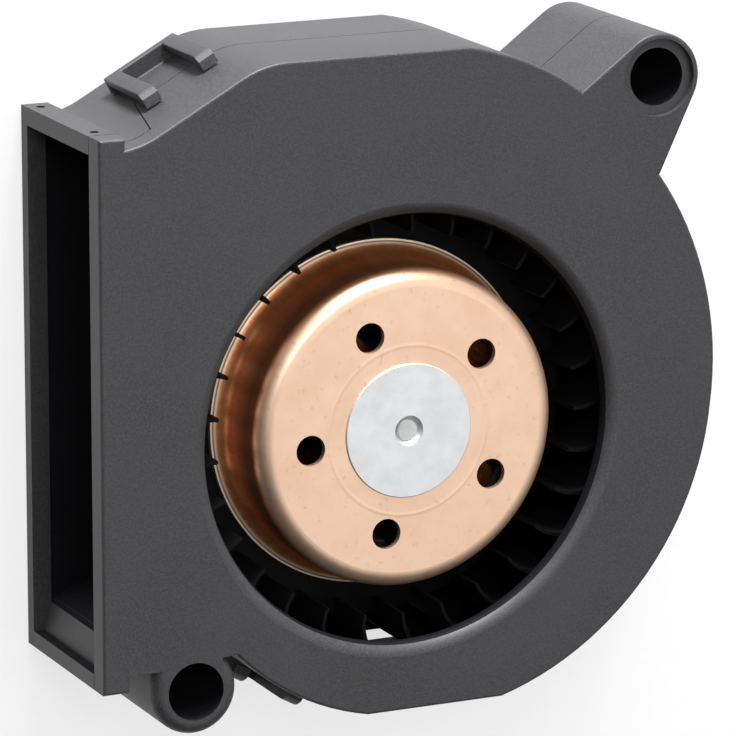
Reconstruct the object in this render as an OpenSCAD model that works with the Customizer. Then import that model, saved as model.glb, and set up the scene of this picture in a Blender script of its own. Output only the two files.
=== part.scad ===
// DC blower fan: volute housing in two halves, external-rotor motor, forward-curved impeller.
// Rear face on z = 0, rotor axis on +Z, outlet faces -X. All sizes in mm.

/* [Housing] */
// depth of the whole housing
body_d = 37; // [25:0.5:50]
// height of the joint between the two halves
split_z = 17.5; // [10:0.5:25]
// gap left at the joint
seam = 0.2; // [0.1:0.05:0.5]
// side wall thickness
wall = 2.0; // [1.5:0.1:3]
// rear wall thickness
rear_t = 2.5; // [1.5:0.1:4]
// front wall thickness
front_t = 2.9; // [1.5:0.1:4]
// height of the top flat above the rotor axis
top_y = 69.0; // [66:0.1:72]
// distance of the bottom flat below the rotor axis
bot_y = 51.9; // [49:0.1:54]
// distance of the outlet plane from the rotor axis
out_x = 59.7; // [58:0.1:62]

/* [Inlet] */
// throat radius
inlet_r = 39.4; // [36:0.1:41]
// rounding at the mouth
inlet_lip = 2.5; // [1:0.1:2.8]

/* [Outlet frame] */
// frame depth along the air path
frame_x = 5; // [3:0.5:8]
// top of the frame
frame_top = 57.9; // [57:0.1:60]
// bottom of the frame
frame_bot = 41.8; // [40:0.1:43]
// rear rim thickness
rim_rear = 3.25; // [2.5:0.05:4]
// front rim thickness
rim_front = 4.7; // [3:0.1:6]
// diameter of the two pin holes
pin_d = 1.7; // [1:0.1:2.5]

/* [Mounting lugs] */
// upper lug centre, x
lug_a_x = 49.1; // [46:0.1:50]
// upper lug centre, y
lug_a_y = 60.6; // [59:0.1:62]
// lower lug centre, x
lug_b_x = -42.1; // [-44:0.1:-41]
// lower lug centre, y
lug_b_y = -43.1; // [-44:0.1:-41]
// lug outer radius
lug_r = 8.1; // [7:0.1:9]
// rounding of the front edge of the lower lug
lug_round = 2; // [0.5:0.1:2.5]
// wide bore radius
lug_bore_r = 5.3; // [4.5:0.1:6]
// radius of the shallow recess at the upper lug
lug_recess_r = 7.1; // [6:0.1:7.3]
// depth of that recess
lug_recess = 1.2; // [0.5:0.1:2]
// thickness of the screw seat at the rear
seat_t = 5; // [3:0.5:8]
// screw hole radius in the seat
screw_r = 2.25; // [1.6:0.05:3]

/* [Cable clips] */
// arm width
clip_w = 3.2; // [2:0.1:4]
// distance between arm centres
clip_pitch = 12.2; // [10:0.1:15]
// height above the wall
clip_h = 3.2; // [2.5:0.1:5]
// thickness of spine and arms
clip_t = 1.5; // [1:0.1:2]
// rear end of the clip
clip_z0 = 7; // [4:0.5:10]
// front end of the clip
clip_z1 = 24.5; // [20:0.5:28]

/* [Impeller] */
// number of blades
blades = 29; // [15:1:40]
// blade inner radius
blade_ri = 35.4; // [33:0.1:37]
// impeller outer radius
blade_ro = 45; // [42:0.1:46]
// blade thickness at the inner edge
blade_t = 0.7; // [0.5:0.1:1]
// blade thickness at the rim
blade_t1 = 1.5; // [1:0.1:2]
// rear end of the blades
blade_z0 = 4.5; // [4:0.1:8]
// gap between the blades and the front wall
wheel_gap = 2.6; // [0.5:0.1:4]
// height of the two end rings
ring_h = 2; // [1:0.1:4]
// outer radius of the hub disc
disc_r = 38.5; // [36:0.1:41]
// thickness of the hub disc
disc_t = 2; // [1.2:0.1:3]

/* [Rotor] */
// depth of the cup's face below the front face of the housing
cup_gap = 1.3; // [0.8:0.1:4]
// cup height, from the rim to the face
cup_h = 16.6; // [15:0.1:18]
// cup outer radius
cup_r = 29.3; // [27:0.1:31]
// cup sheet thickness
cup_t = 1.2; // [0.8:0.1:1.6]
// rounding of the front edge
cup_round = 3; // [1.5:0.1:4]
// radius of the flared rim
flare_r = 32; // [31:0.1:33]
// radius of the curve into the rim
flare_round = 3.2; // [2:0.1:4]
// number of vent holes
vents = 5; // [3:1:8]
// vent hole diameter
vent_d = 5.6; // [4:0.1:7]
// radius of the circle of vent holes
vent_r = 19.24; // [17:0.1:21]
// hub disc radius
hub_r = 12.35; // [10:0.05:14]
// shaft radius
shaft_r = 2; // [1.5:0.05:3]
// magnet inner radius
magnet_ri = 24.75; // [23:0.05:26]
// space left above the magnet in the cup
magnet_gap = 2.6; // [1:0.1:5]
// radius of the boss behind the hub disc
boss_r = 6; // [4:0.1:8]
// height of that boss
boss_h = 1; // [0.5:0.1:1.5]

/* [Bearings] */
// bearing outer radius
brg_r = 5.5; // [4.5:0.1:7]
// bearing width
brg_w = 4; // [3:0.1:5]
// ball diameter
ball_d = 1.6; // [1.2:0.1:2]
// balls in each bearing
balls = 8; // [6:1:9]
// rear face of the rear bearing
brg_z0 = 7.5; // [7:0.1:9]
// distance from the cup's face to the rear face of the front bearing
brg_drop = 6.9; // [6.8:0.1:10]
// bearing tube outer radius
tube_r = 7.5; // [7:0.1:8]

/* [Stator] */
// core outer radius
core_r = 24.3; // [23:0.1:24.4]
// height of the core above the rim of the cup
core_gap = 0.7; // [0.3:0.1:2]
// space for the coil heads above the core
coil_room = 5.7; // [5:0.1:8]
// tooth width
tooth_w = 7; // [5:0.5:9]
// thickness of the pole shoes
shoe_t = 2.4; // [1.5:0.1:3]
// radius of the ring that joins the teeth
yoke_r = 12; // [10:0.1:13]
// thickness of the insulators
ins_t = 1; // [0.6:0.1:1.5]
// height of their outer walls
ins_h = 3.6; // [2:0.1:4]
// distance of the circuit board below the core
board_drop = 9; // [8:0.1:10]
// circuit board radius
board_r = 22.5; // [20:0.5:24]
// circuit board thickness
board_t = 1.6; // [1:0.1:2]

/* [Hidden] */
$fn = 96;
e = 0.01;
teeth = 4;
// arcs of the scroll: centre x, centre y, radius
arc1 = [2.02, -3.39, 49.6];
arc2 = [2.83, 4.33, 58.4];
arc3 = [-0.8, 6.36, 62.23];
split_a = 50;
// the fourth arc starts where the third meets that direction and crests above the top flat
dir3 = [cos(split_a), sin(split_a)];
c3 = [arc3[0], arc3[1]];
p3 = dir3 * (dir3 * c3 + sqrt(pow(dir3 * c3, 2) - c3 * c3 + pow(arc3[2], 2)));
crest = top_y + 1 - p3[1];
arc4_x = 0.72;
arc4_r = (pow(p3[0] - arc4_x, 2) + pow(crest, 2)) / (2 * crest);
arc4 = [arc4_x, p3[1] + crest - arc4_r, arc4_r];
// top wall: slope, convex radius, concave radius, corner point at the frame
slope = 28.9;
knee_r = 18;
valley_r = 16;
valley_x = -52.42;
valley_y = 55.8;
knee_x = valley_x + (top_y - knee_r * (1 - cos(slope)) - valley_y) / tan(slope) + knee_r * sin(slope);
// foot of the scroll at the lower notch
foot_t = -136.6;
foot = [arc1[0] + arc1[2] * cos(foot_t), arc1[1] + arc1[2] * sin(foot_t)];
duct_y = -38.6;
notch_x = -36.9;
// top of the opening in the frame
mouth_y = 54.6;
// tongue
ramp0 = [-56.2, -33.8];
nose_t = -153;
nose = [arc1[0] + (arc1[2] - wall) * cos(nose_t), arc1[1] + (arc1[2] - wall) * sin(nose_t)];
nose_r = 1.5;
// joint beside the frame
slit_x0 = -45.1;
slit_x1 = -48.2;
slit_low = 51.4;
root_a = [33.3, 59];
root_b = [49.7, 42.8];
frame_z = body_d - rim_front;
// heights that follow from the depth of the housing
blade_z1 = body_d - front_t - wheel_gap;
cup_z = body_d - cup_gap;
flare_z = cup_z - cup_h;
brg_z1 = cup_z - brg_drop;
core_z0 = flare_z + core_gap;
core_h = cup_h - cup_t - core_gap - coil_room;
magnet_h = cup_h - cup_t - 0.8 - magnet_gap;
board_z = core_z0 - board_drop;
ring_z = brg_z0 - 1.9;
boss_z = cup_z - cup_t - boss_h;
brg_end = brg_z1 + brg_w;
// place of the upper cable clip along x, and direction of the lower one from the centre of the first arc
clip_x = -38.4;
clip_a = -118.8;

function tangent(p, c, r, s) =
    let (b = atan2(p[1] - c[1], p[0] - c[0]), a = acos(r / norm(p - c)))
    c + r * [cos(b + s * a), sin(b + s * a)];

module disc2(a, d) {
    translate([a[0], a[1]]) circle(r = a[2] - d, $fn = 180);
}

// sectors of the scroll, drawn d inside the outer surface and starting at point p
module scroll2(d, p) {
    intersection() {
        union() {
            intersection() {
                disc2(arc1, d);
                polygon([[3, -3], [3, -90], [-90, -90], p * 2.2, p]);
            }
            intersection() {
                disc2(arc2, d);
                polygon([[-1, 1], [90, 1], [90, -90], [-1, -90]]);
            }
            intersection() {
                disc2(arc3, d);
                polygon([[-2, -2], [90, -2], [90, 90], 100 * [cos(split_a), sin(split_a)]]);
            }
            intersection() {
                disc2(arc4, d);
                polygon([[-1, -4], [4, -4], 100 * [cos(split_a - 1), sin(split_a - 1)], [0, 100], [-1, 100]]);
            }
        }
        translate([-90, -bot_y + d]) square([180, top_y + bot_y - 2 * d]);
    }
}

// top left part with the S-shaped wall, d inside the outer surface
module crown2(d, x0, low) {
    kc = [knee_x, top_y - knee_r];
    kt = kc + (knee_r - d) * [-sin(slope), cos(slope)];
    vy = valley_y - d;
    vx = kt[0] - (kt[1] - vy) / tan(slope);
    vl = (valley_r + d) * tan(slope / 2);
    vt = [vx + vl * cos(slope), vy + vl * sin(slope)];
    intersection() {
        translate(kc) circle(r = knee_r - d, $fn = 144);
        polygon([kc, kt + [-6, 6], [knee_x, top_y + 5]]);
    }
    polygon(concat([[0, top_y - d], [knee_x, top_y - d], kc, kt, vt, [vx, vy], [x0, vy]], low));
    difference() {
        polygon([[vx - vl, vy - 0.5], [vx, vy - 0.5], vt + [0.3, -0.3], vt, [vx, vt[1]], [vx - vl, vy + 1]]);
        translate([vx - vl, vy + valley_r + d]) circle(r = valley_r + d, $fn = 180);
    }
}

// whole outline of the housing, d inside
module outline2() {
    scroll2(0, foot);
    crown2(0, -out_x, [[-out_x, duct_y], [notch_x, duct_y], [notch_x, foot[1]], foot, [12, -6]]);
}

// air space, with the rounded end of the tongue
module cavity2() {
    u = (ramp0 - nose) / norm(ramp0 - nose);
    v = [-sin(nose_t), cos(nose_t)];
    m = nose + nose_r * (u + v);
    scroll2(wall, nose);
    crown2(wall, ramp0[0], [ramp0, nose, [12, -6]]);
    difference() {
        polygon([nose - 0.4 * (u + v), nose + nose_r * u - 0.3 * v, m, nose + nose_r * v - 0.3 * u]);
        translate(m) circle(r = nose_r - 0.02);
    }
}

module lug_a2() {
    c = [lug_a_x, lug_a_y];
    translate(c) circle(r = lug_r);
    polygon([root_a, tangent(root_a, c, lug_r, -1), c, tangent(root_b, c, lug_r, 1), root_b, [30, 40]]);
}

module lug_b2() {
    translate([lug_b_x, lug_b_y]) circle(r = lug_r);
    polygon([[lug_b_x - lug_r, lug_b_y], [lug_b_x - lug_r, duct_y], [lug_b_x + lug_r * 0.64, duct_y],
        [lug_b_x + lug_r * 0.64, lug_b_y]]);
}

// quarter circle that rounds the outer edge of a profile whose corner is at (x, z)
module rounded_edge2(x, z, r) {
    difference() {
        translate([x - r, z - r]) square(r + 1);
        translate([x - r, z - r]) circle(r = r, $fn = 48);
    }
}

// lower lug with its rounded front edge
module lug_b() {
    translate([lug_b_x, lug_b_y, 0]) {
        rotate_extrude() difference() {
            square([lug_r, body_d]);
            rounded_edge2(lug_r, body_d, lug_round);
        }
        rotate([90, 0, 180]) linear_extrude(duct_y - lug_b_y + e) difference() {
            translate([-lug_r * 0.64, 0]) square([lug_r * 1.64, body_d]);
            rounded_edge2(lug_r, body_d, lug_round);
        }
    }
}

module plan2() {
    outline2();
    lug_a2();
    lug_b2();
}

module bores() {
    for (c = [[lug_a_x, lug_a_y], [lug_b_x, lug_b_y]]) {
        translate([c[0], c[1], seat_t]) cylinder(r = lug_bore_r, h = body_d);
        translate([c[0], c[1], -1]) cylinder(r = screw_r, h = seat_t + 2, $fn = 48);
    }
    translate([lug_a_x, lug_a_y, body_d - lug_recess]) cylinder(r = lug_recess_r, h = 2);
}

// part of the side wall that stays with the rear half up to the front plate, grown by g
module frame_zone(g) {
    rotate([90, 0, 0]) translate([0, 0, -80]) linear_extrude(90)
        polygon([[-91, -1], [slit_x0 + g, -1], [slit_x0 + g, split_z], [slit_x1 + g, frame_z + g / 2],
            [-91, frame_z + g / 2]]);
    translate([-91, -80, -1]) cube([91 - slit_low + g, 81, frame_z + 1 + g / 2]);
}

module front_zone(g) {
    difference() {
        translate([-90, -80, split_z + g / 2]) cube([180, 160, 60]);
        frame_zone(g);
    }
}

// one U-shaped cable clip, on a wall whose outward side is +Y
module cable_clip() {
    for (s = [-1, 1])
        translate([s * clip_pitch / 2 - clip_w / 2, 0, 0]) rotate([90, 0, 90]) linear_extrude(clip_w)
            polygon([[clip_h - clip_t, clip_z0], [clip_h, clip_z0], [clip_h, clip_z1 - 1.9],
                [clip_h - 0.4, clip_z1 - 1], [clip_h - 1.1, clip_z1 - 0.3], [0.4, clip_z1],
                [0.4, clip_z1 - clip_t], [1.2, clip_z1 - clip_t - 0.3], [clip_h - clip_t, clip_z1 - 3]]);
    translate([-clip_pitch / 2 - clip_w / 2, -1.2, clip_z0]) cube([clip_pitch + clip_w, clip_h + 1.2, clip_t]);
}

module clips() {
    translate([clip_x, valley_y + (clip_x - valley_x) * tan(slope), 0]) rotate([0, 0, slope]) cable_clip();
    translate([arc1[0], arc1[1], 0]) rotate([0, 0, clip_a - 90]) translate([0, arc1[2] - 0.4, 0]) cable_clip();
}

module rear_housing() {
    color([0.22, 0.22, 0.23]) difference() {
        union() {
            difference() {
                union() {
                    linear_extrude(split_z - seam / 2) plan2();
                    intersection() {
                        linear_extrude(frame_z - seam / 2) outline2();
                        frame_zone(0);
                    }
                    translate([-out_x, -frame_bot, 0]) cube([frame_x, frame_top + frame_bot, frame_z - seam / 2]);
                }
                translate([0, 0, rear_t]) linear_extrude(body_d) cavity2();
                translate([-out_x - 1, duct_y - 0.3, rim_rear]) cube([3, mouth_y - duct_y + 0.3, body_d]);
                translate([0, 0, rim_rear]) linear_extrude(body_d)
                    polygon([[-out_x + 1, duct_y - 0.3], [-out_x + 1.8, duct_y - 0.3], ramp0, ramp0 + [1, 0.5],
                        [ramp0[0] + 1, mouth_y - 0.8], [-out_x + 1, mouth_y]]);
            }
            translate([0, 0, rear_t - e]) cylinder(r = 10.8, h = board_z - rear_t - 0.3);
            for (a = [45:90:315]) rotate([0, 0, a])
                translate([18, -2, rear_t - e]) cube([3, 4, board_z - rear_t - 0.1]);
            clips();
        }
        bores();
        translate([0, 0, rear_t]) cylinder(r = tube_r + 0.03, h = body_d);
        for (z = [3.9, frame_z - 3.1])
            translate([-out_x + 2.4, frame_top - 2, z]) rotate([-90, 0, 0]) cylinder(d = pin_d, h = 4, $fn = 36);
        translate([5.1, -bot_y + wall, -1]) cube([9.5, 2.6, 6]);
    }
}

module front_housing() {
    color([0.24, 0.24, 0.25]) difference() {
        union() {
            intersection() {
                union() {
                    linear_extrude(body_d) {
                        outline2();
                        lug_a2();
                    }
                    lug_b();
                }
                front_zone(seam);
            }
            intersection() {
                translate([-out_x, -frame_bot, frame_z + seam / 2])
                    cube([frame_x, frame_top + frame_bot, rim_front - seam / 2]);
                front_zone(seam);
            }
        }
        translate([0, 0, -1]) linear_extrude(body_d - front_t + 1) difference() {
            cavity2();
            translate([-90, -80]) square([90 - 43.4, 160]);
        }
        translate([0, 0, -1]) linear_extrude(frame_z + 1) cavity2();
        translate([0, 0, 10]) cylinder(r = inlet_r, h = 40, $fn = 144);
        rotate_extrude($fn = 144) difference() {
            translate([inlet_r - 1, body_d - inlet_lip]) square([inlet_lip + 1, inlet_lip + 1]);
            translate([inlet_r + inlet_lip, body_d - inlet_lip]) circle(r = inlet_lip, $fn = 72);
        }
        bores();
    }
}

// one blade: a crescent between two circles, thin at the inner edge
module blade2() {
    rb = 9.5;
    grow = (blade_t1 - blade_t) * 1.2;
    cb = [blade_ri + 0.6, rb];
    back = rb + blade_t / 2;
    intersection() {
        difference() {
            translate(cb) circle(r = back, $fn = 144);
            translate(cb + grow * [-sin(10), -cos(10)]) circle(r = back - blade_t - grow, $fn = 144);
        }
        polygon([[blade_ri, -1.6], [blade_ri + 14, -1.6], [blade_ri + 14, 9], [blade_ri, 1.2]]);
        circle(r = blade_ro - 0.1, $fn = 180);
    }
}

module impeller() {
    color([0.1, 0.1, 0.11]) {
        translate([0, 0, blade_z0]) linear_extrude(blade_z1 - blade_z0)
            for (i = [0:blades - 1]) rotate([0, 0, i * 360 / blades - 1.2]) blade2();
        for (z = [blade_z0, blade_z1 - ring_h]) translate([0, 0, z]) linear_extrude(ring_h) difference() {
            circle(r = blade_ro, $fn = 180);
            circle(r = blade_ro - 1.9, $fn = 180);
        }
        translate([0, 0, flare_z - disc_t - 0.05]) linear_extrude(disc_t) difference() {
            circle(r = disc_r, $fn = 180);
            circle(r = cup_r - cup_t + 0.4, $fn = 180);
        }
    }
}

module cup_wall2() {
    rw = cup_r - cup_t;
    fc = [cup_r + flare_round, flare_z + cup_t + flare_round];
    intersection() {
        difference() {
            translate([cup_r - cup_round, cup_z - cup_round]) circle(r = cup_round, $fn = 72);
            translate([cup_r - cup_round, cup_z - cup_round]) circle(r = cup_round - cup_t, $fn = 72);
        }
        translate([cup_r - cup_round, cup_z - cup_round]) square(cup_round + 1);
    }
    translate([hub_r - 2, cup_z - cup_t]) square([cup_r - cup_round - hub_r + 2, cup_t]);
    translate([rw, fc[1]]) square([cup_t, cup_z - cup_round - fc[1]]);
    intersection() {
        difference() {
            translate(fc) circle(r = flare_round + cup_t, $fn = 72);
            translate(fc) circle(r = flare_round, $fn = 72);
        }
        translate([rw - 1, flare_z - 1]) square([flare_r - rw + 1, fc[1] - flare_z + 1]);
    }
}

module rotor_cup() {
    color([0.91, 0.77, 0.66]) difference() {
        rotate_extrude($fn = 144) cup_wall2();
        for (i = [0:vents - 1]) rotate([0, 0, 113.2 - i * 360 / vents])
            translate([vent_r, 0, cup_z - 3]) cylinder(d = vent_d, h = 5, $fn = 48);
    }
}

module rotor_hub() {
    color([0.85, 0.86, 0.87]) rotate_extrude($fn = 120) {
        polygon([[shaft_r, boss_z], [boss_r, boss_z], [boss_r, cup_z - cup_t - 0.05], [hub_r - 2.05, cup_z - cup_t - 0.05],
            [hub_r - 2.05, cup_z + 0.02], [hub_r, cup_z + 0.02], [hub_r, cup_z + 0.15], [hub_r - 0.15, cup_z + 0.3],
            [shaft_r + 0.8, cup_z + 0.3], [shaft_r + 0.8, cup_z - 0.1], [shaft_r, cup_z - 0.7]]);
    }
}

module shaft() {
    color([0.7, 0.71, 0.72]) rotate_extrude($fn = 72)
        polygon([[0, ring_z - 1.4], [shaft_r - 0.3, ring_z - 1.4], [shaft_r, ring_z - 1.1], [shaft_r, ring_z],
            [shaft_r - 0.4, ring_z], [shaft_r - 0.4, ring_z + 0.6], [shaft_r, ring_z + 0.6],
            [shaft_r, cup_z - 0.5], [shaft_r - 0.2, cup_z - 0.3], [0, cup_z - 0.3]]);
}

module magnet_ring() {
    color([0.25, 0.25, 0.27]) translate([0, 0, flare_z + 0.8]) difference() {
        cylinder(r = cup_r - cup_t - 0.05, h = magnet_h, $fn = 144);
        translate([0, 0, -1]) cylinder(r = magnet_ri, h = magnet_h + 2, $fn = 144);
    }
}

module bearing_tube() {
    color([0.8, 0.65, 0.3]) difference() {
        translate([0, 0, rear_t]) cylinder(r = tube_r, h = brg_end + 0.1 - rear_t);
        translate([0, 0, 1]) cylinder(r = brg_r - 0.9, h = 50);
        translate([0, 0, 1]) cylinder(r = brg_r, h = brg_z0 + brg_w - 1);
        translate([0, 0, brg_z1]) cylinder(r = brg_r, h = 50);
    }
}

module ring_outer(z) {
    translate([0, 0, z]) rotate_extrude($fn = 96) difference() {
        translate([brg_r - 0.95, 0]) square([0.94, brg_w]);
        translate([3.75, brg_w / 2]) circle(d = ball_d + 0.04, $fn = 48);
    }
}

module ring_inner(z) {
    translate([0, 0, z]) rotate_extrude($fn = 96) difference() {
        translate([shaft_r + 0.005, 0]) square([0.95, brg_w]);
        translate([3.75, brg_w / 2]) circle(d = ball_d + 0.04, $fn = 48);
    }
}

module ball_set(z) {
    translate([0, 0, z + brg_w / 2]) {
        for (i = [0:balls - 1]) rotate([0, 0, i * 360 / balls]) translate([3.75, 0, 0]) sphere(d = ball_d, $fn = 24);
        difference() {
            translate([0, 0, -0.25]) cylinder(r = 3.95, h = 0.5, $fn = 72);
            translate([0, 0, -1]) cylinder(r = 3.55, h = 2, $fn = 72);
        }
    }
}

module rear_outer_ring() {
    color([0.7, 0.72, 0.74]) ring_outer(brg_z0);
}

module rear_inner_ring() {
    color([0.72, 0.74, 0.76]) ring_inner(brg_z0);
}

module rear_balls() {
    color([0.8, 0.82, 0.84]) ball_set(brg_z0);
}

module front_outer_ring() {
    color([0.7, 0.72, 0.74]) ring_outer(brg_z1);
}

module front_inner_ring() {
    color([0.72, 0.74, 0.76]) ring_inner(brg_z1);
}

module front_balls() {
    color([0.8, 0.82, 0.84]) ball_set(brg_z1);
}

module preload_washer() {
    color([0.6, 0.62, 0.64]) rotate_extrude($fn = 72)
        polygon([[shaft_r + 0.15, brg_end], [shaft_r + 0.45, brg_end], [shaft_r + 2.2, boss_z - 0.25],
            [shaft_r + 2.2, boss_z], [shaft_r + 1.9, boss_z], [shaft_r + 0.15, brg_end + 0.25]]);
}

module thrust_washer() {
    color([0.9, 0.9, 0.85]) translate([0, 0, ring_z + 0.65]) difference() {
        cylinder(r = 3, h = brg_z0 - ring_z - 0.67, $fn = 60);
        translate([0, 0, -1]) cylinder(r = shaft_r + 0.05, h = 4, $fn = 60);
    }
}

module retaining_clip() {
    color([0.5, 0.5, 0.52]) translate([0, 0, ring_z + 0.05]) linear_extrude(0.5) difference() {
        circle(r = 3.5, $fn = 60);
        circle(r = shaft_r - 0.38, $fn = 60);
        translate([0, -1.3]) square([5, 2.6]);
        for (a = [110, 250]) rotate(a) translate([2.1, 0]) circle(r = 0.5, $fn = 24);
    }
}

module core2(rim, d) {
    difference() {
        union() {
            circle(r = yoke_r + d, $fn = 96);
            for (i = [0:teeth - 1]) rotate(i * 360 / teeth + 45) translate([yoke_r - 7, -tooth_w / 2 - d])
                square([core_r - yoke_r + 5, tooth_w + 2 * d]);
            if (rim > 0) difference() {
                circle(r = core_r, $fn = 144);
                circle(r = core_r - rim, $fn = 144);
                for (i = [0:teeth - 1]) rotate(i * 360 / teeth) translate([0, -1.5]) square([40, 3]);
            }
        }
        circle(r = tube_r + 0.02, $fn = 96);
    }
}

module stator_core() {
    color([0.55, 0.56, 0.58]) translate([0, 0, core_z0]) linear_extrude(core_h) core2(shoe_t, 0);
}

module insulator() {
    linear_extrude(ins_t) core2(shoe_t - 0.4, 0.4);
    linear_extrude(ins_h) difference() {
        circle(r = core_r - 1.6, $fn = 144);
        circle(r = core_r - 2.6, $fn = 144);
        for (i = [0:teeth - 1]) rotate(i * 360 / teeth) translate([0, -5]) square([40, 10]);
    }
    linear_extrude(ins_h - 0.4) difference() {
        circle(r = yoke_r + 0.6, $fn = 96);
        circle(r = yoke_r - 0.6, $fn = 96);
    }
}

module upper_insulator() {
    color([0.13, 0.13, 0.14]) translate([0, 0, core_z0 + core_h + 0.02]) insulator();
}

module lower_insulator() {
    color([0.13, 0.13, 0.14]) translate([0, 0, core_z0 - 0.02]) mirror([0, 0, 1]) insulator();
}

module coil2(w, h, r) {
    for (s = [-1, 1]) translate([s * (w / 2 - r), 0]) for (t = [-1, 1]) translate([0, t * (h / 2 - r)])
        circle(r = r, $fn = 36);
    square([w, h - 2 * r], center = true);
    square([w - 2 * r, h], center = true);
}

module windings() {
    color([0.72, 0.38, 0.16]) for (i = [0:teeth - 1]) rotate([0, 0, i * 360 / teeth + 45])
        intersection() {
            translate([yoke_r + 1, 0, core_z0 + core_h / 2]) rotate([90, 0, 90])
                linear_extrude(core_r - yoke_r - 2.3) difference() {
                coil2(tooth_w + 6.4, core_h + 2 * ins_t + 5.6, 2.2);
                square([tooth_w + 0.9, core_h + 2 * ins_t + 0.2], center = true);
            }
            cylinder(r = core_r - 2.8, h = 40, $fn = 144);
        }
}

module circuit_board() {
    color([0.1, 0.35, 0.18]) translate([0, 0, board_z]) linear_extrude(board_t) difference() {
        circle(r = board_r, $fn = 120);
        circle(r = tube_r + 0.4, $fn = 72);
        translate([-4, -board_r - 2]) square([8, 3.4]);
        for (i = [0:teeth - 1]) rotate(i * 90) translate([yoke_r - 0.6, 0]) circle(r = 0.45, $fn = 24);
    }
}

module winding_pins() {
    color([0.75, 0.72, 0.6]) for (i = [0:teeth - 1]) rotate([0, 0, i * 90]) translate([yoke_r - 0.6, 0, board_z - 1.5])
        cylinder(r = 0.4, h = core_z0 - ins_h + 0.3 - board_z + 1.5, $fn = 24);
}

module hall_sensor() {
    color([0.12, 0.12, 0.13]) translate([20.4, -2, board_z + board_t + 0.02]) cube([1.6, 4, 3.2]);
}

module driver_chip() {
    color([0.1, 0.1, 0.11]) translate([-17.5, -2.5, board_z - 1.62]) cube([4, 5, 1.6]);
}

module capacitor() {
    color([0.75, 0.76, 0.78]) translate([3, 15, rear_t + 2.88]) cylinder(d = 6.3, h = board_z - rear_t - 2.9, $fn = 48);
}

rear_housing();
front_housing();
impeller();
rotor_cup();
rotor_hub();
shaft();
magnet_ring();
bearing_tube();
rear_outer_ring();
rear_inner_ring();
rear_balls();
front_outer_ring();
front_inner_ring();
front_balls();
preload_washer();
thrust_washer();
retaining_clip();
stator_core();
upper_insulator();
lower_insulator();
windings();
circuit_board();
winding_pins();
hall_sensor();
driver_chip();
capacitor();
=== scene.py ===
import math

import bmesh
import bpy
from mathutils import Matrix, Vector


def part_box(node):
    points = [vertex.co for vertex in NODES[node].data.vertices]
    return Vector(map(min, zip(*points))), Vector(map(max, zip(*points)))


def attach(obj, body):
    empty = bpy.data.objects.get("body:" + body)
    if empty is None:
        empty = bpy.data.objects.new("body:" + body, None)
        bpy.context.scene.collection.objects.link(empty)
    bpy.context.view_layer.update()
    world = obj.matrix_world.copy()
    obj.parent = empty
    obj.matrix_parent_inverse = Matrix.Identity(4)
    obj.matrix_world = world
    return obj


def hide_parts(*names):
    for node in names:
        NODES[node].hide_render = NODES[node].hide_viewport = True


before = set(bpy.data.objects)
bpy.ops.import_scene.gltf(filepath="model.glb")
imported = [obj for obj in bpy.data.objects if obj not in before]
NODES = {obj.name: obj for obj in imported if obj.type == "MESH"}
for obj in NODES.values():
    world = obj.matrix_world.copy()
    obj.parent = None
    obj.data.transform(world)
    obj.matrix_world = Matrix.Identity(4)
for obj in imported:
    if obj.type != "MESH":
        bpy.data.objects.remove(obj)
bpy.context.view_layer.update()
MM = 0.001
CUP_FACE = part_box("rotor_cup")[1][2]
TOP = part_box("front_housing")[1][2]
MOUTH = -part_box("rear_housing")[0][0]

# ---------------------------------------------------------------- camera
CAMERA_AT = Vector((-0.3849274, 0.2311933, 0.8419165))
TILT = (13.816583, 25.056975, -0.144406)
LENS = 252.07
SENSOR = 36.0


def place_camera():
    rx, ry, rz = (math.radians(a) for a in TILT)
    turn = Matrix.Rotation(rz, 3, "Z") @ Matrix.Rotation(rx, 3, "X") @ Matrix.Rotation(ry, 3, "Y")
    data = bpy.data.cameras.new("camera")
    data.lens = LENS
    data.sensor_width = SENSOR
    data.clip_start = 0.05
    data.clip_end = 20
    camera = bpy.data.objects.new("camera", data)
    bpy.context.scene.collection.objects.link(camera)
    camera.matrix_world = Matrix.Translation(CAMERA_AT) @ turn.transposed().to_4x4()
    bpy.context.scene.camera = camera


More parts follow.
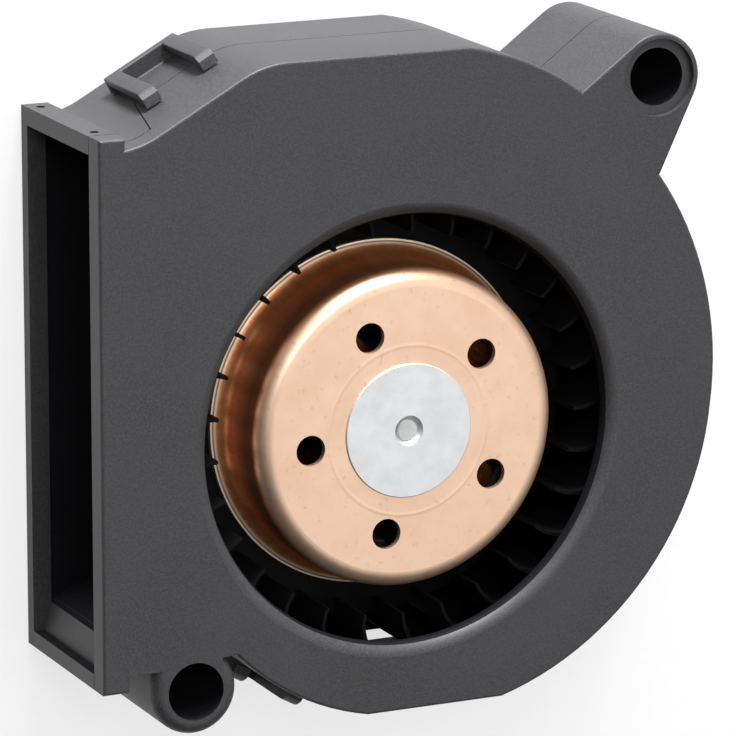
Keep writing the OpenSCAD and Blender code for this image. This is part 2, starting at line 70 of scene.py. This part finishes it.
# ---------------------------------------------------------------- node helpers
class Graph:
    """A material's node tree, with short ways to add and join nodes."""

    def __init__(self, name):
        self.mat = bpy.data.materials.new(name)
        self.mat.use_nodes = True
        self.tree = self.mat.node_tree
        self.shader = self.tree.nodes["Principled BSDF"]
        self.out = self.tree.nodes["Material Output"]
        coord = self.add("ShaderNodeTexCoord")
        self.place = coord.outputs["Object"]

    def add(self, kind, **values):
        node = self.tree.nodes.new(kind)
        for key, value in values.items():
            setattr(node, key, value)
        return node

    def join(self, a, b):
        self.tree.links.new(a, b)

    def noise(self, scale, detail=3.0, rough=0.6, stretch=(1, 1, 1)):
        node = self.add("ShaderNodeTexNoise")
        node.inputs["Scale"].default_value = scale
        node.inputs["Detail"].default_value = detail
        node.inputs["Roughness"].default_value = rough
        if stretch == (1, 1, 1):
            self.join(self.place, node.inputs["Vector"])
        else:
            mapping = self.add("ShaderNodeMapping")
            mapping.inputs["Scale"].default_value = stretch
            self.join(self.place, mapping.inputs["Vector"])
            self.join(mapping.outputs["Vector"], node.inputs["Vector"])
        return node.outputs["Fac"]

    def ramp(self, value, stops):
        node = self.add("ShaderNodeValToRGB")
        keys = node.color_ramp.elements
        while len(keys) < len(stops):
            keys.new(0.5)
        for key, (at, colour) in zip(keys, stops):
            key.position = at
            key.color = (*colour, 1)
        self.join(value, node.inputs["Fac"])
        return node.outputs["Color"]

    def grey_ramp(self, value, low, high, at=(0.3, 0.7)):
        return self.ramp(value, [(at[0], (low,) * 3), (at[1], (high,) * 3)])

    def between(self, value, start, end):
        """0 at start and before it, 1 at end and beyond it."""
        node = self.add("ShaderNodeMapRange")
        node.inputs["From Min"].default_value = start
        node.inputs["From Max"].default_value = end
        self.join(value, node.inputs["Value"])
        return node.outputs["Result"]

    def blend(self, factor, a, b):
        node = self.add("ShaderNodeMix", data_type="RGBA")
        for socket, item in ((node.inputs[0], factor), (node.inputs[6], a), (node.inputs[7], b)):
            if isinstance(item, (int, float)):
                socket.default_value = item
            elif isinstance(item, tuple):
                socket.default_value = (*item, 1)
            else:
                self.join(item, socket)
        return node.outputs[2]

    def math(self, op, a, b=None):
        node = self.add("ShaderNodeMath", operation=op)
        for socket, item in zip(node.inputs, (a, b)):
            if item is None:
                continue
            if isinstance(item, (int, float)):
                socket.default_value = item
            else:
                self.join(item, socket)
        return node.outputs[0]

    def bump(self, height, strength, distance, below=None):
        node = self.add("ShaderNodeBump")
        node.inputs["Strength"].default_value = strength
        node.inputs["Distance"].default_value = distance
        self.join(height, node.inputs["Height"])
        if below is not None:
            self.join(below, node.inputs["Normal"])
        return node.outputs["Normal"]

    def finish(self, colour=None, rough=None, normal=None, **fixed):
        for key, value in fixed.items():
            self.shader.inputs[key.replace("_", " ")].default_value = value
        if colour is not None:
            self.join(colour, self.shader.inputs["Base Color"])
        if rough is not None:
            self.join(rough, self.shader.inputs["Roughness"])
        if normal is not None:
            self.join(normal, self.shader.inputs["Normal"])
        return self.mat


def srgb(r, g, b):
    """Linear colour of an 8-bit screen colour."""
    def lin(c):
        c /= 255
        return c / 12.92 if c <= 0.04045 else ((c + 0.055) / 1.055) ** 2.4
    return (lin(r), lin(g), lin(b))


# ---------------------------------------------------------------- finishes
def moulded_plastic(name, dark, light, rough=(0.44, 0.58), grain=0.35, gloss=0.42):
    """Spark-textured moulding: a fine pebble grain with slow changes of tone."""
    g = Graph(name)
    fine = g.noise(2600, 2.5, 0.65)
    broad = g.noise(55, 3, 0.5)
    pebble = g.add("ShaderNodeTexVoronoi", feature="F1")
    pebble.inputs["Scale"].default_value = 2300
    g.join(g.place, pebble.inputs["Vector"])
    tone = g.blend(g.grey_ramp(fine, 0, 1, (0.36, 0.66)), dark, light)
    tone = g.blend(g.grey_ramp(broad, 0, 0.35), tone, light)
    roughness = g.grey_ramp(fine, *rough)
    normal = g.bump(fine, grain, 0.00006)
    normal = g.bump(pebble.outputs["Distance"], grain * 0.6, 0.00005, normal)
    return g.finish(tone, roughness, normal, Specular_IOR_Level=gloss)


def plated_sheet(name, dark, light, rough, stain):
    """Satin plated steel with a slightly uneven deposit and small dull specks."""
    g = Graph(name)
    cloud = g.noise(190, 5, 0.6)
    fine = g.noise(1900, 3, 0.7)
    specks = g.noise(900, 2, 0.5)
    tone = g.blend(g.grey_ramp(cloud, 0, 1, (0.35, 0.68)), dark, light)
    tone = g.blend(g.grey_ramp(specks, 0, 0.35, (0.62, 0.78)), tone, stain)
    roughness = g.grey_ramp(fine, *rough)
    normal = g.bump(fine, 0.16, 0.00004)
    return g.finish(tone, roughness, normal, Metallic=1.0)


TOOL_MARK = 0.00022
WIRE_PITCH = 0.0005


def axis_radius(g):
    """Distance of the shaded point from the rotor axis, and its height."""
    split = g.add("ShaderNodeSeparateXYZ")
    g.join(g.place, split.inputs[0])
    squares = [g.math("MULTIPLY", split.outputs[i], split.outputs[i]) for i in (0, 1)]
    return g.math("SQRT", g.math("ADD", *squares)), split.outputs[2]


# places on the cup, in metres: depths below its face, and radii
FACE_FADE = (0.003, 0.0008)
# depths of a painted dark reflection band round the cup's wall
PAINTED_DARK_BAND_TOP = (0.0018, 0.0036)
PAINTED_DARK_BAND_FOOT = (0.0115, 0.006)
PRESSED_RING_R = 0.0156
# radii where the painted highlight on the flange rim begins
RIM_HIGHLIGHT_R = (0.0309, 0.0312)
# radius of a painted shade line across the rim's highlight
SHADE_LINE_R = 0.03155


def drawn_cup(name):
    """Copper-plated deep-drawn cup: pale satin face with one faint pressed ring, browner drawn wall, a painted dark
    reflection band round the wall, a painted highlight on the flange rim and a painted shade line within it.
    """
    g = Graph(name)
    radius, height = axis_radius(g)
    cloud = g.noise(150, 4, 0.55)
    fine = g.noise(2100, 3, 0.7)
    specks = g.noise(820, 2, 0.5)
    streaks = g.noise(420, 3, 0.6, (1, 1, 0.12))
    face = g.blend(g.grey_ramp(cloud, 0, 1, (0.3, 0.75)), srgb(232, 194, 166), srgb(240, 206, 180))
    wall = g.blend(g.grey_ramp(streaks, 0, 1, (0.3, 0.7)), srgb(240, 142, 86), srgb(255, 176, 118))
    tone = g.blend(g.between(height, *(CUP_FACE - d for d in FACE_FADE)), wall, face)
    tone = g.blend(g.grey_ramp(specks, 0, 0.28, (0.64, 0.78)), tone, srgb(150, 92, 62))
    # painted dark reflection: a brown band round the wall below the rounding
    painted_dark_band = g.math("MULTIPLY", *(g.between(height, CUP_FACE - a, CUP_FACE - b) for a, b in (PAINTED_DARK_BAND_FOOT, PAINTED_DARK_BAND_TOP)))
    tone = g.blend(g.math("MULTIPLY", painted_dark_band, 0.7), tone, srgb(110, 60, 38))
    # painted highlight: the flange rim turned cream
    tone = g.blend(g.between(radius, *RIM_HIGHLIGHT_R), tone, srgb(255, 228, 200))
    # painted shade: a thin dark line within the rim's highlight
    from_shade_line = g.math("ABSOLUTE", g.math("SUBTRACT", radius, SHADE_LINE_R))
    tone = g.blend(g.math("MULTIPLY", g.between(from_shade_line, 0.0002, 0.00006), 0.8), tone, srgb(70, 38, 24))
    roughness = g.grey_ramp(fine, 0.36, 0.48)
    off_ring = g.math("ABSOLUTE", g.math("SUBTRACT", radius, PRESSED_RING_R))
    ring = g.between(off_ring, 0.0005, 0)
    normal = g.bump(fine, 0.16, 0.00004)
    normal = g.bump(ring, 0.35, 0.00008, normal)
    return g.finish(tone, roughness, normal, Metallic=0.88)


def turned_metal(name, dark, light, rough):
    """Turned face: fine rings round the axis over a slightly blotchy metal."""
    g = Graph(name)
    radius, _ = axis_radius(g)
    rings = g.math("SINE", g.math("MULTIPLY", radius, 2 * math.pi / TOOL_MARK))
    blotch = g.noise(260, 4, 0.6)
    fine = g.noise(3200, 2, 0.6)
    tone = g.blend(g.grey_ramp(blotch, 0, 1, (0.35, 0.66)), dark, light)
    roughness = g.grey_ramp(fine, *rough)
    normal = g.bump(rings, 0.05, 0.00001)
    normal = g.bump(fine, 0.2, 0.00002, normal)
    return g.finish(tone, roughness, normal, Metallic=0.85)


def plain_finish(name, dark, light, rough, scale=900):
    """Two close tones in a fine grain, for the small inner parts."""
    g = Graph(name)
    fine = g.noise(scale, 3, 0.6)
    tone = g.blend(g.grey_ramp(fine, 0, 1), dark, light)
    return g.finish(tone, g.grey_ramp(fine, *rough), g.bump(fine, 0.2, 0.00003))


def enamelled_wire(name):
    """Turns of wire seen as fine ribs round the axis of each coil."""
    g = Graph(name)
    split = g.add("ShaderNodeSeparateXYZ")
    g.join(g.place, split.inputs[0])
    across = g.math("ADD", split.outputs[0], split.outputs[1])
    ribs = g.math("SINE", g.math("MULTIPLY", across, 2 * math.pi / WIRE_PITCH))
    fine = g.noise(800, 3, 0.6)
    # The wire tones are darker than the enamel's own brown: partly its colour and partly painted shade of the motor's
    # inside, seen through the vents.
    tone = g.blend(g.grey_ramp(fine, 0, 1), srgb(58, 26, 14), srgb(96, 48, 26))
    return g.finish(tone, g.grey_ramp(fine, 0.25, 0.4), g.bump(ribs, 0.7, 0.0002), Metallic=0.6)


HOUSING = moulded_plastic("housing_plastic", srgb(42, 42, 44), srgb(62, 62, 64))
# The inner walls take a near-black plastic, darker than the housing's moulding: painted shade of the air space, the
# bores and the pin holes.
INNER_PAINTED_SHADE = moulded_plastic("inner_plastic_painted_shade", srgb(14, 14, 17), srgb(22, 22, 26), (0.6, 0.75), 0.2, 0.1)
# The impeller is near-black, darker than the housing: partly its own black plastic and partly painted shade of the
# deep air space.
WHEEL_PAINTED_SHADE = moulded_plastic("impeller_plastic_painted_shade", srgb(8, 8, 9), srgb(15, 15, 17), (0.6, 0.7), 0.2, 0.08)
CUP = drawn_cup("copper_plated_steel")
HUB = turned_metal("cast_hub", srgb(218, 219, 220), srgb(229, 230, 231), (0.42, 0.52))
STEEL = turned_metal("ground_steel", srgb(190, 191, 190), srgb(212, 213, 212), (0.35, 0.5))
MAGNET = plain_finish("bonded_magnet", srgb(44, 42, 44), srgb(70, 68, 70), (0.55, 0.7))
TUBE = turned_metal("brass_tube", srgb(180, 146, 76), srgb(212, 178, 104), (0.3, 0.45))
CORE = plated_sheet("core_sheets", srgb(104, 104, 108), srgb(140, 141, 146), (0.4, 0.55), srgb(96, 80, 68))
INSULATOR = plain_finish("insulator_plastic", srgb(20, 20, 22), srgb(32, 32, 34), (0.4, 0.55))
COPPER = enamelled_wire("enamelled_wire")
BOARD = plain_finish("circuit_board_lacquer", srgb(14, 44, 26), srgb(22, 62, 36), (0.25, 0.4), 500)
CHIP = plain_finish("chip_resin", srgb(28, 28, 30), srgb(44, 44, 47), (0.5, 0.65))

FINISH = {
    "rear_housing": HOUSING, "front_housing": HOUSING, "impeller": WHEEL_PAINTED_SHADE, "rotor_cup": CUP, "rotor_hub": HUB,
    "shaft": STEEL, "magnet_ring": MAGNET, "bearing_tube": TUBE, "rear_outer_ring": STEEL,
    "rear_inner_ring": STEEL, "rear_balls": STEEL, "front_outer_ring": STEEL, "front_inner_ring": STEEL,
    "front_balls": STEEL, "preload_washer": STEEL, "thrust_washer": INSULATOR, "retaining_clip": STEEL,
    "stator_core": CORE, "upper_insulator": INSULATOR, "lower_insulator": INSULATOR, "windings": COPPER,
    "circuit_board": BOARD, "winding_pins": STEEL, "hall_sensor": CHIP, "driver_chip": CHIP, "capacitor": CORE,
}


def dress(obj, material):
    obj.data.materials.clear()
    obj.data.materials.append(material)


for node_name, material in FINISH.items():
    dress(NODES[node_name], material)


# ---------------------------------------------------------------- pieces
def put_on(piece, body, slot, *nodes):
    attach(piece, body)
    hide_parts(*nodes)


def kept_mesh(obj, name):
    """A plain mesh object of what obj's modifiers make, in obj's place."""
    graph = bpy.context.evaluated_depsgraph_get()
    mesh = bpy.data.meshes.new_from_object(obj.evaluated_get(graph), depsgraph=graph)
    bpy.data.objects.remove(obj)
    piece = bpy.data.objects.new(name, mesh)
    mesh.name = name
    bpy.context.scene.collection.objects.link(piece)
    return piece


def scene_object(bm, name):
    mesh = bpy.data.meshes.new(name)
    bm.to_mesh(mesh)
    bm.free()
    obj = bpy.data.objects.new(name, mesh)
    bpy.context.scene.collection.objects.link(obj)
    return obj


def even_shading(bm, angle):
    """Smooth faces, with the sharp edges kept and the flat front and rear faces shaded flat."""
    for face in bm.faces:
        face.smooth = True
    for edge in bm.edges:
        flats = sum(abs(f.normal.z) > 0.99999 for f in edge.link_faces)
        edge.smooth = flats != 1 and edge.calc_face_angle(math.pi) < math.radians(angle)


def at_height(edge, z, tol=0.00002):
    return all(abs(v.co.z - z) < tol for v in edge.verts)


def is_corner(edge, angle=50):
    return len(edge.link_faces) == 2 and edge.calc_face_angle(0) > math.radians(angle)


# places on the housing that pick its edges and faces: in metres, the two angles in degrees
LUGS = ((0.0491, 0.0606), (-0.0421, -0.0431))
LUG_REACH = 0.0125
BORE_R = 0.0057
RECESS_RING = (0.005, 0.0073)
RECESS_FLOOR = TOP - 0.002
OUTLINE_R = 0.0475
LUG_CORE_R = 0.0076
REAR_WALL = 0.0025
FRONT_WALL = 0.0029
SEAM_Z = 0.0175
FRAME_START = -0.0535
DUCT_Y = -0.0386
DUCT_START = -0.02
NOTCH_X = -0.035
PIN_HOLES = ((-0.0582, -0.0561), (0.055, 0.05785), (0.0005, TOP - 0.0005))
UPPER_CLIP = ((-0.051, -0.027), (0.057, 0.08), (0.0065, 0.0189))
FLAT_ANGLE = 0.5
CREASE_ANGLE = 24


def edge_middle(edge):
    return (edge.verts[0].co + edge.verts[1].co) / 2


def within(at, region):
    return all(low < value < high for value, (low, high) in zip(at, region))


def lug_distance(at):
    return min(math.hypot(at.x - x, at.y - y) for x, y in LUGS)


def outline_edge(edge):
    """Outer edges of the front and rear faces."""
    at = edge_middle(edge)
    far_out = math.hypot(at.x, at.y) > OUTLINE_R and lug_distance(at) > LUG_CORE_R
    under_duct = abs(at.y - DUCT_Y) < 0.0002 and at.x < NOTCH_X
    return is_corner(edge) and far_out and not under_duct and (at_height(edge, TOP) or at_height(edge, 0))


def bore_edge(edge):
    """Front edges of the bores and of the recess round the upper one."""
    at = edge_middle(edge)
    return is_corner(edge) and RECESS_RING[0] < lug_distance(at) < RECESS_RING[1] and at.z > RECESS_FLOOR


def clip_edge(edge):
    """Edges of the arms and the spine of the upper cable clip."""
    at = edge_middle(edge)
    beside_seam = abs(at.z - SEAM_Z) < 0.0003
    return is_corner(edge) and within(at, UPPER_CLIP) and not beside_seam


def takes_painted_shade(face):
    """True for the walls of the air space, of the bores and of the pin holes, which are given the painted shade."""
    at, way = face.calc_center_median(), face.normal
    floor, ceiling = REAR_WALL + 0.0001, TOP - FRONT_WALL - 0.0001
    if within(at, PIN_HOLES):
        return True
    if abs(way.z) > 0.7:
        return (way.z > 0 and 0.001 < at.z < floor) or (way.z < 0 and ceiling < at.z < TOP - 0.0004)
    if lug_distance(at) < LUG_REACH:
        return lug_distance(at) < BORE_R
    inward = way.x * at.x + way.y * at.y < -0.2 * math.hypot(at.x, at.y)
    duct = at.x < DUCT_START and abs(at.x + MOUTH) > 0.0002 and way.y * at.y < -0.5 * abs(at.y)
    return (inward or duct) and at.z < TOP - 0.0012


def moulded_half(node, name, rounding):
    """One half of the housing with the rounded edges that its mould gives it."""
    bm = bmesh.new()
    bm.from_mesh(NODES[node].data)
    bmesh.ops.remove_doubles(bm, verts=bm.verts, dist=0.000004)
    behind_frame = [v for v in bm.verts if v.co.x > FRAME_START]
    touching = [e for e in bm.edges if any(v.co.x > FRAME_START for v in e.verts)]
    bmesh.ops.dissolve_limit(bm, angle_limit=math.radians(FLAT_ANGLE), verts=behind_frame, edges=touching)
    for chosen, width, clamp in ((outline_edge, rounding, False), (bore_edge, rounding * 0.6, True),
                                 (clip_edge, rounding * 0.7, True)):
        edges = [e for e in bm.edges if chosen(e)]
        if edges:
            bmesh.ops.bevel(bm, geom=edges, offset=width, offset_type="OFFSET", segments=3, profile=0.5,
                            affect="EDGES", clamp_overlap=clamp)
    bmesh.ops.triangulate(bm, faces=[f for f in bm.faces if len(f.verts) > 4])
    bmesh.ops.recalc_face_normals(bm, faces=bm.faces)
    for face in bm.faces:
        # Faces of the air space, the bores and the pin holes get the painted shade material.
        face.material_index = int(takes_painted_shade(face))
    even_shading(bm, CREASE_ANGLE)
    shell = scene_object(bm, name)
    for material in (HOUSING, INNER_PAINTED_SHADE):
        shell.data.materials.append(material)
    put_on(shell, "housing", "housing", node)


# wheel sizes, in mm
BLADES = 29
BLADE_START = -1.2
BACK_CENTRE = (36.0, 9.5)
BACK_R = 9.85
HOLLOW_CENTRE = (35.8333, 8.5546)
HOLLOW_R = 8.19
BLADE_TIP = (44.47, 6.25)
RING_INNER = 43.1
RING_HEIGHT = 2
DISC_RADII = (28.5, 38.5)
DISC_GAP = 0.05
DISC_THICKNESS = 2


def arc_points(centre, radius, start, end, count):
    for i in range(count + 1):
        a = math.radians(start + (end - start) * i / count)
        yield (centre[0] + radius * math.cos(a), centre[1] + radius * math.sin(a))


def blade_blank(low, high):
    """One forward-curved blade, thin at its inner edge, with its front end slightly eased."""
    back = list(arc_points(BACK_CENTRE, BACK_R, -93.49, -28.7, 22))
    hollow = list(arc_points(HOLLOW_CENTRE, HOLLOW_R, -93.03, -20.2, 22))
    outline = back + [BLADE_TIP] + hollow[::-1]
    middle = [((a[0] + b[0]) / 2, (a[1] + b[1]) / 2) for a, b in zip(back, hollow)]
    centre_line = middle + [middle[-1]] + middle[::-1]
    bm = bmesh.new()
    rings = []
    for z, ease in ((low, 0.0), (high - 0.2, 0.0), (high - 0.05, 0.1), (high, 0.3)):
        rings.append([bm.verts.new(((p[0] + (m[0] - p[0]) * ease) * MM,
                                    (p[1] + (m[1] - p[1]) * ease) * MM, z * MM))
                      for p, m in zip(outline, centre_line)])
    count = len(outline)
    for lower, upper in zip(rings, rings[1:]):
        for i in range(count):
            j = (i + 1) % count
            bm.faces.new((lower[i], lower[j], upper[j], upper[i]))
    bm.faces.new(rings[0][::-1])
    bm.faces.new(rings[-1])
    bmesh.ops.recalc_face_normals(bm, faces=bm.faces)
    return scene_object(bm, "blade_blank")


def blade_circle():
    """Geometry nodes that repeat the blade they are given round the rotor axis."""
    tree = bpy.data.node_groups.new("blade_circle", "GeometryNodeTree")
    face = tree.interface
    face.new_socket("Blade", in_out="INPUT", socket_type="NodeSocketGeometry")
    count = face.new_socket("Blade Count", in_out="INPUT", socket_type="NodeSocketInt")
    start = face.new_socket("First Angle", in_out="INPUT", socket_type="NodeSocketFloat")
    finish = face.new_socket("Finish", in_out="INPUT", socket_type="NodeSocketMaterial")
    face.new_socket("Blades", in_out="OUTPUT", socket_type="NodeSocketGeometry")

    def add(kind, **values):
        node = tree.nodes.new(kind)
        for key, value in values.items():
            setattr(node, key, value)
        return node

    def number(op, a, b):
        node = add("ShaderNodeMath", operation=op)
        for socket, item in zip(node.inputs, (a, b)):
            if isinstance(item, (int, float)):
                socket.default_value = item
            else:
                tree.links.new(item, socket)
        return node.outputs[0]

    given = add("NodeGroupInput")
    result = add("NodeGroupOutput")
    points = add("GeometryNodePoints")
    tree.links.new(given.outputs["Blade Count"], points.inputs["Count"])
    index = add("GeometryNodeInputIndex")
    step = number("DIVIDE", 2 * math.pi, given.outputs["Blade Count"])
    angle = number("ADD", number("MULTIPLY", index.outputs[0], step), given.outputs["First Angle"])
    turn = add("ShaderNodeCombineXYZ")
    tree.links.new(angle, turn.inputs["Z"])
    place = add("GeometryNodeInstanceOnPoints")
    tree.links.new(points.outputs[0], place.inputs["Points"])
    tree.links.new(given.outputs["Blade"], place.inputs["Instance"])
    tree.links.new(turn.outputs[0], place.inputs["Rotation"])
    real = add("GeometryNodeRealizeInstances")
    tree.links.new(place.outputs[0], real.inputs[0])
    coat = add("GeometryNodeSetMaterial")
    tree.links.new(real.outputs[0], coat.inputs["Geometry"])
    tree.links.new(given.outputs["Finish"], coat.inputs["Material"])
    tree.links.new(coat.outputs[0], result.inputs[0])
    return tree, {"count": count.identifier, "start": start.identifier, "finish": finish.identifier}


def turned_ring(bm, corners, sides=180):
    """A closed profile of (radius, height) corners in mm, turned round the rotor axis."""
    rings = []
    for i in range(sides):
        a = 2 * math.pi * i / sides
        rings.append([bm.verts.new((r * math.cos(a) * MM, r * math.sin(a) * MM, z * MM)) for r, z in corners])
    for ring, after in zip(rings, rings[1:] + rings[:1]):
        for k in range(len(corners)):
            m = (k + 1) % len(corners)
            bm.faces.new((ring[k], ring[m], after[m], after[k]))


def eased(r0, r1, z0, z1, c=0.2):
    """Corners of a ring's section with small eased edges."""
    return [(r0 + c, z0), (r1 - c, z0), (r1, z0 + c), (r1, z1 - c),
            (r1 - c, z1), (r0 + c, z1), (r0, z1 - c), (r0, z0 + c)]


def make_wheel():
    """The whole impeller: the blades, both end rings and the disc that joins them to the cup."""
    low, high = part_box("impeller")[0][2] / MM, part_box("impeller")[1][2] / MM
    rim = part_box("impeller")[1][1] / MM
    blank = blade_blank(low + 0.02, high)
    tree, inputs = blade_circle()
    modifier = blank.modifiers.new("blades", "NODES")
    modifier.node_group = tree
    modifier[inputs["count"]] = BLADES
    modifier[inputs["start"]] = math.radians(BLADE_START)
    modifier[inputs["finish"]] = WHEEL_PAINTED_SHADE
    blades = kept_mesh(blank, "blades_work")
    bm = bmesh.new()
    bm.from_mesh(blades.data)
    bpy.data.objects.remove(blades)
    disc_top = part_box("rotor_cup")[0][2] / MM - DISC_GAP
    turned_ring(bm, eased(RING_INNER, rim, low, low + RING_HEIGHT))
    turned_ring(bm, eased(RING_INNER, rim, high - RING_HEIGHT, high - 0.02))
    turned_ring(bm, eased(*DISC_RADII, disc_top - DISC_THICKNESS, disc_top))
    bmesh.ops.recalc_face_normals(bm, faces=bm.faces)
    even_shading(bm, CREASE_ANGLE)
    wheel = scene_object(bm, "blade_wheel")
    dress(wheel, WHEEL_PAINTED_SHADE)
    put_on(wheel, "rotor", "wheel", "impeller")


EDGE_ROUNDING = 0.5 * MM
moulded_half("rear_housing", "rear_half", EDGE_ROUNDING)
moulded_half("front_housing", "front_half", EDGE_ROUNDING)
make_wheel()


# ---------------------------------------------------------------- stage
def floor_finish():
    g = Graph("floor_card")
    fine = g.noise(300, 3, 0.6)
    card = g.blend(g.grey_ramp(fine, 0, 1), (0.86, 0.86, 0.86), (0.9, 0.9, 0.9))
    g.finish(card, g.grey_ramp(fine, 0.8, 0.9))
    glow = g.add("ShaderNodeEmission")
    glow.inputs["Color"].default_value = (1, 1, 1, 1)
    glow.inputs["Strength"].default_value = 1.0
    path = g.add("ShaderNodeLightPath")
    seen = g.math("MAXIMUM", path.outputs["Is Camera Ray"],
                  g.math("MAXIMUM", path.outputs["Is Glossy Ray"], path.outputs["Is Transmission Ray"]))
    mix = g.add("ShaderNodeMixShader")
    g.join(g.math("MULTIPLY", seen, 0.72), mix.inputs[0])
    g.join(g.shader.outputs[0], mix.inputs[1])
    g.join(glow.outputs[0], mix.inputs[2])
    g.join(mix.outputs[0], g.out.inputs["Surface"])
    return g.mat


def make_floor():
    mesh = bpy.data.meshes.new("floor")
    bm = bmesh.new()
    size = 6.0
    corners = [bm.verts.new((x, y, -0.0002)) for x, y in ((-size, -size), (size, -size), (size, size), (-size, size))]
    bm.faces.new(corners)
    bm.to_mesh(mesh)
    bm.free()
    floor = bpy.data.objects.new("floor", mesh)
    bpy.context.scene.collection.objects.link(floor)
    dress(floor, floor_finish())


def area_lamp(name, at, towards, size, power):
    data = bpy.data.lights.new(name, "AREA")
    data.shape = "DISK"
    data.size = size
    data.energy = power
    lamp = bpy.data.objects.new(name, data)
    bpy.context.scene.collection.objects.link(lamp)
    lamp.location = at
    lamp.rotation_euler = (Vector(towards) - Vector(at)).to_track_quat("-Z", "Y").to_euler()


def light_stage():
    """Soft daylight that is strongest from the outlet's upper side, over a white ground."""
    world = bpy.data.worlds.new("studio")
    world.use_nodes = True
    tree = world.node_tree
    back = tree.nodes["Background"]
    back.inputs["Color"].default_value = (1, 1, 1, 1)
    way = tree.nodes.new("ShaderNodeTexCoord")
    bright_side = tree.nodes.new("ShaderNodeVectorMath")
    bright_side.operation = "DOT_PRODUCT"
    bright_side.inputs[1].default_value = (0.42, 0.68, 0.6)
    tree.links.new(way.outputs["Generated"], bright_side.inputs[0])
    sky = tree.nodes.new("ShaderNodeMapRange")
    sky.inputs["From Min"].default_value = -0.1
    sky.inputs["From Max"].default_value = 1.0
    sky.inputs["To Min"].default_value = 0.03
    sky.inputs["To Max"].default_value = 0.95
    tree.links.new(bright_side.outputs["Value"], sky.inputs["Value"])
    path = tree.nodes.new("ShaderNodeLightPath")
    strength = tree.nodes.new("ShaderNodeMix")
    strength.data_type = "FLOAT"
    tree.links.new(path.outputs["Is Camera Ray"], strength.inputs[0])
    tree.links.new(sky.outputs["Result"], strength.inputs[2])
    strength.inputs[3].default_value = 1.0
    tree.links.new(strength.outputs[0], back.inputs["Strength"])
    bpy.context.scene.world = world
    area_lamp("key", (0.1, 1.0, 0.75), (0, 0, 0.02), 0.5, 7)
    area_lamp("front", (0.45, -0.1, 1.1), (0, 0, 0.02), 0.9, 1.6)
    area_lamp("near_side", (-0.34, 0.42, 0.92), (0, 0, 0.02), 0.3, 2.0)
    area_lamp("above", (0.0, 1.2, 0.15), (0, 0, 0.02), 0.4, 36)


# ---------------------------------------------------------------- run
place_camera()
make_floor()
light_stage()
bpy.context.scene.view_settings.view_transform = "Standard"
